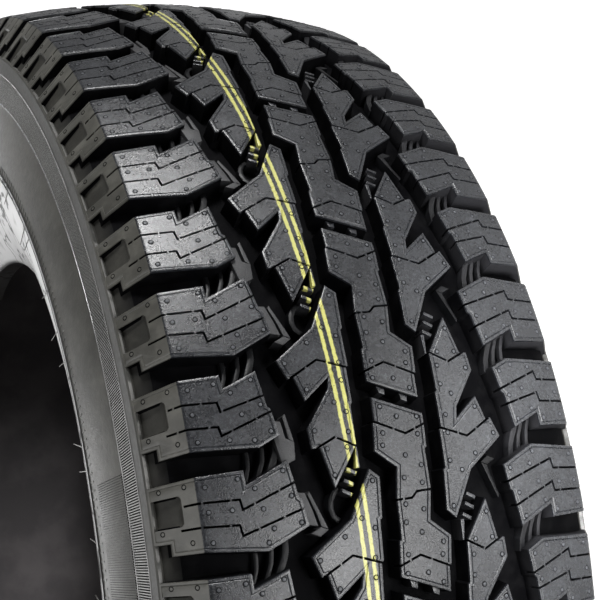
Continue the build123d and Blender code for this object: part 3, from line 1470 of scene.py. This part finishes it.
@dataclass
class SidewallMarks:
    """The fine moulded relief on both sidewalls: ribs, dashes, hatching and vent hairs."""

    carcass: Carcass
    rubber: Material
    lit_band_rubber: Material
    gap_shade_rubber: Material
    rib_taper: float = 0.72
    rib_root: float = 0.4
    band_ribs: int = PITCH_COUNT * 64
    dash_count: int = PITCH_COUNT * 16
    hatch_panels: int = 3
    hatch_start_deg: float = 5.5
    hatch_sweep_deg: float = -48.0
    hatch_ribs: int = 218
    hair_count: int = 60
    hair_length: float = 12.0
    hair_extra: float = 4.0
    hair_lean_deg: float = -18.0
    hair_sway_deg: float = 7.0
    hair_tilt_deg: float = -88.0
    hair_radii: Point = (0.34, 0.2)

    def wall_height(self, radius: float) -> float:
        """Width of the sidewall's surface at a radius.

        Args:
            radius: the radius in millimetres.

        Returns:
            The width in millimetres.
        """
        section = self.carcass.outer_half()
        for (outer, wide_0), (inner, wide_1) in zip(section, section[1:]):
            if inner <= radius <= outer and outer - inner > 0.05:
                return wide_0 + (wide_1 - wide_0) * (outer - radius) / (outer - inner)
        return section[0][1]

    def rib(self, outer: float, inner: float, half_wide: float, rise: float,
            cuts: int = 0) -> BMesh:
        """One radial rib on the upper sidewall, at the angle 0.

        Args:
            outer: its outer radius.
            inner: its inner radius.
            half_wide: half its thickness at the foot.
            rise: its height above the sidewall.
            cuts: how often it bends with the sidewall.

        Returns:
            A closed mesh in metres.
        """
        work = bmesh.new()
        bmesh.ops.create_cube(work, size=1.0)
        long_edges = [edge for edge in work.edges if abs(edge.verts[0].co.x - edge.verts[1].co.x) > 0.5]
        bmesh.ops.subdivide_edges(work, edges=long_edges, cuts=cuts, use_grid_fill=True)
        for vert in work.verts:
            radius = inner + (outer - inner) * (vert.co.x + 0.5)
            top = vert.co.z > 0
            wide = half_wide * (self.rib_taper if top else 1.0)
            height = self.wall_height(radius) + (rise if top else -self.rib_root)
            vert.co = Vector((radius, math.copysign(wide, vert.co.y), height)) * MM
        return work

    def both_sides(self, name: str, work: BMesh,
                   finishes: Sequence[Material]) -> None:
        """Turns a copy of upper marks to the lower sidewall and sets both as one piece.

        Args:
            name: the piece's name.
            work: the marks on the upper sidewall.
            finishes: their materials, by material index.
        """
        everything = work.verts[:] + work.edges[:] + work.faces[:]
        turn = Matrix.Rotation(math.pi, 3, "X")
        copy = bmesh.ops.duplicate(work, geom=everything)["geom"]
        verts = [item for item in copy if isinstance(item, bmesh.types.BMVert)]
        bmesh.ops.rotate(work, verts=verts, cent=CENTRE, matrix=turn)
        set_piece(name, work, finishes)

    def shade_gaps(self, work: BMesh) -> None:
        """Gives the sides of a rib the near-black finish of the gaps, a painted shade.

        Args:
            work: one rib.
        """
        work.normal_update()
        for face in work.faces:
            face.material_index = 0 if face.normal.z > 0.9 else 1

    def build_band(self) -> None:
        """The serrated band of fine radial ribs."""
        outer, inner = self.carcass.band_outer[0] - 0.5, self.carcass.band_inner[0] + 0.5
        work = self.rib(outer, inner, half_wide=0.44, rise=self.carcass.band_sink)
        self.shade_gaps(work)
        repeat_round(work, self.band_ribs)
        self.both_sides("serrated_bands", work, (self.lit_band_rubber, self.gap_shade_rubber))

    def build_dashes(self) -> None:
        """The row of small dashes outside the widest line."""
        inner = self.carcass.ridge_outer[0] + 0.5
        outer = self.carcass.plain_inner[0] - 1.2
        work = self.rib(outer, inner, half_wide=0.6, rise=0.22)
        repeat_round(work, self.dash_count)
        self.both_sides("ridge_dashes", work, (self.rubber,))

    def build_hatch(self) -> None:
        """Panels of fine radial hatching on the plain band."""
        outer, inner = self.carcass.band_inner[0] - 2.0, self.carcass.plain_inner[0] + 3.0
        work = self.rib(outer, inner, half_wide=0.40, rise=0.45, cuts=4)
        self.shade_gaps(work)
        everything = work.verts[:] + work.edges[:] + work.faces[:]
        start = Matrix.Rotation(math.radians(self.hatch_start_deg), 3, "Z")
        bmesh.ops.rotate(work, verts=work.verts, cent=CENTRE, matrix=start)
        bmesh.ops.spin(work, geom=everything, cent=CENTRE, axis=SPIN_AXIS, dvec=CENTRE,
                       angle=math.radians(self.hatch_sweep_deg), steps=self.hatch_ribs, use_duplicate=True)
        repeat_round(work, self.hatch_panels)
        self.both_sides("hatched_panels", work, (self.rubber, self.gap_shade_rubber))

    def build_hairs(self) -> None:
        """Short rubber hairs left by the mould's vents, lying in from the widest line."""
        work = bmesh.new()
        golden = math.pi * (3 - math.sqrt(5))
        thick, thin = self.hair_radii
        root = Matrix.Translation(Vector((self.carcass.ridge_inner[0] + 0.8, 0, HALF_WIDTH - 1.0)) * MM)
        tilt = Matrix.Rotation(math.radians(self.hair_tilt_deg), 4, "Y")
        for index in range(self.hair_count):
            length = self.hair_length + self.hair_extra * ((index * 7) % 5) / 4
            turn = 2 * math.pi * (index + 0.35 * math.sin(index * golden)) / self.hair_count
            lean_deg = self.hair_sway_deg * math.sin(index * 2.1) + self.hair_lean_deg
            lean = Matrix.Rotation(math.radians(lean_deg), 4, "Z")
            middle = Matrix.Translation((0, 0, length / 2 * MM))
            place = Matrix.Rotation(turn, 4, "Z") @ root @ lean @ tilt @ middle
            bmesh.ops.create_cone(work, cap_ends=True, segments=5, radius1=thick * MM, radius2=thin * MM,
                                  depth=length * MM, matrix=place)
        # the hairs take the lighter rubber of the painted light
        self.both_sides("vent_hairs", work, (self.lit_band_rubber,))


@dataclass(frozen=True)
class Lamp:
    """One soft lamp: its place, target and size in metres, its power and how wide its beam opens."""

    name: str
    place: Place
    target: Place
    size: Point
    watts: float
    spread_deg: float = 180.0

    def build(self) -> None:
        """Sets the lamp in the scene, unseen by the camera."""
        data = bpy.data.lights.new(self.name, "AREA")
        data.shape = "RECTANGLE"
        data.size, data.size_y = self.size
        data.energy = self.watts
        data.spread = math.radians(self.spread_deg)
        lamp = bpy.data.objects.new(self.name, data)
        lamp.location = self.place
        aim = Vector(self.target) - Vector(self.place)
        lamp.rotation_euler = aim.to_track_quat("-Z", "Y").to_euler()
        lamp.visible_camera = False
        bpy.context.scene.collection.objects.link(lamp)


@dataclass
class Studio:
    """White floor, soft lamps, white surroundings and the camera."""

    floor_size: float = 12.0
    floor_grey: Colour = (0.52, 0.52, 0.52)
    floor_roughness: float = 0.9
    floor_glow: float = 0.78
    soft_strength: float = 0.25
    camera_place: Place = (0.95556, -0.00838, 0.31523)
    camera_forward: Place = (-0.88518, 0.17388, -0.43153)
    camera_up: Place = (0.22325, 0.97252, -0.06608)
    lens: float = 76.8
    sensor: float = 36.0
    lamps: tuple[Lamp, ...] = (
        Lamp("key", (1.25, 1.66, 0.26), (0.35, 0.17, 0.06), (0.5, 0.5), 12.3, 90.0),
        Lamp("top", (0.4, -0.3, 2.2), (0.2, 0.0, 0.0), (1.6, 1.6), 17.0),
        Lamp("low", (0.82, -0.11, -0.10), (0.40, -0.02, 0.0), (0.36, 0.16), 3.4),
        Lamp("side", (0.54, 0.03, -0.01), (0.54, 0.03, -0.13), (0.16, 0.28), 2.35),
        Lamp("rim", (-1.8, 0.48, 0.25), (0.15, 0.2, 0.12), (1.6, 0.7), 12.5),
        Lamp("back", (-1.45, -0.05, 1.12), (0.31, 0.02, 0.13), (0.8, 0.5), 5.6),
        Lamp("inner", (-0.085, -0.16, -0.125), (-0.374, -0.05, 0.01), (0.06, 0.06), 0.12, 60.0),
    )

    def build_camera(self) -> None:
        """Sets the camera at the photograph's viewpoint."""
        data = bpy.data.cameras.new("camera")
        data.lens = self.lens
        data.sensor_width = self.sensor
        data.clip_start = 0.01
        camera = bpy.data.objects.new("camera", data)
        back = -Vector(self.camera_forward).normalized()
        right = Vector(self.camera_up).cross(back).normalized()
        up = back.cross(right)
        turn = Matrix((right, up, back)).transposed()
        camera.matrix_world = Matrix.Translation(self.camera_place) @ turn.to_4x4()
        bpy.context.scene.collection.objects.link(camera)
        bpy.context.scene.camera = camera

    def build_surroundings(self) -> None:
        """Sets white surroundings that light the tyre softly."""
        world = bpy.data.worlds.new("surroundings")
        bpy.context.scene.world = world
        sheet = ShaderSheet(world)
        camera = sheet.node("ShaderNodeLightPath", {}, {}, output="Is Camera Ray")
        strength = self.soft_strength + camera * (1 - self.soft_strength)
        light = sheet.node("ShaderNodeBackground", {}, {"Color": (1, 1, 1, 1), "Strength": strength})
        sheet.node("ShaderNodeOutputWorld", {}, {"Surface": light})

    def build_floor(self) -> None:
        """Lays the pale floor that the tyre rests on."""
        work = bmesh.new()
        bmesh.ops.create_grid(work, x_segments=1, y_segments=1, size=self.floor_size / 2,
                              matrix=Matrix.Translation((0, 0, -HALF_WIDTH * MM)))
        mesh = bpy.data.meshes.new("floor")
        work.to_mesh(mesh)
        work.free()
        sheet = new_sheet("floor_white")
        camera = sheet.node("ShaderNodeLightPath", {}, {}, output="Is Camera Ray")
        glow = sheet.mix(camera, solid((0.0, 0.0, 0.0)), solid((1.0, 1.0, 1.0)))
        mesh.materials.append(sheet.finish({
            "Base Color": solid(self.floor_grey), "Roughness": self.floor_roughness,
            "Emission Color": glow, "Emission Strength": self.floor_glow,
        }))
        floor = bpy.data.objects.new("floor", mesh)
        bpy.context.scene.collection.objects.link(floor)

    def build(self) -> None:
        """Builds the whole studio."""
        bpy.context.scene.view_settings.view_transform = "Standard"
        self.build_camera()
        for lamp in self.lamps:
            lamp.build()
        self.build_surroundings()
        self.build_floor()


def main() -> None:
    tread_rubber = TreadRubber().make()
    shaded_groove_rubber = ShadedGrooveRubber().make()
    sidewall_rubber = SidewallRubber().make()
    profile = TreadProfile()
    Studio().build()
    # painted shade: a darker copy of the sidewall rubber for the recesses between the lugs and the pockets
    # in their slopes
    shaded_recess_rubber = SidewallRubber("shaded_recess_rubber", body=(0.020, 0.0195, 0.0170),
                                   bloom=(0.046, 0.0445, 0.039), roughness=0.5, gloss=0.16).make()
    carcass = Carcass(profile, {
        Skin.WALL: sidewall_rubber,
        Skin.FLOOR: shaded_groove_rubber,
        Skin.LINER: LinerRubber().make(),
        Skin.STEP: StepGlintRubber().make(),
        Skin.BEAD: BeadRubber().make(),
        Skin.RECESS: shaded_recess_rubber,
    })
    carcass.build()
    # painted highlight: a lighter copy of the tread rubber, on the middles of the vent marks
    highlight_rubber = TreadRubber("highlight_rubber", top=(0.028, 0.030, 0.034), worn=(0.085, 0.089, 0.096),
                              roughness=0.42, gloss=0.3, polish=0.1).make()
    # painted shade: the fins, rails and cups in the grooves take a dark copy of the groove rubber
    shaded_rib_rubber = ShadedGrooveRubber("shaded_rib_rubber", body=(0.0022, 0.0023, 0.0027), dust=(0.005, 0.0052, 0.006),
                              roughness=0.42, gloss=0.15).make()
    tread = Tread(profile, tread_rubber, sidewall_rubber, shaded_groove_rubber, highlight_rubber, shaded_recess_rubber,
                  shaded_rib_rubber)
    tread.build_blocks()
    tread.build_vents()
    tread.build_ribs()
    # painted light: a lighter copy of the sidewall rubber for the tops of the band's ribs and the vent hairs
    lit_band_rubber = SidewallRubber("lit_band_rubber", body=(0.060, 0.0585, 0.051),
                                 bloom=(0.12, 0.117, 0.104)).make()
    marks = SidewallMarks(carcass, sidewall_rubber, lit_band_rubber, shaded_groove_rubber)
    marks.build_band()
    marks.build_dashes()
    marks.build_hatch()
    marks.build_hairs()


if __name__ == "__main__":
    logging.basicConfig(level=logging.INFO, format="%(name)s: %(message)s")
    main()
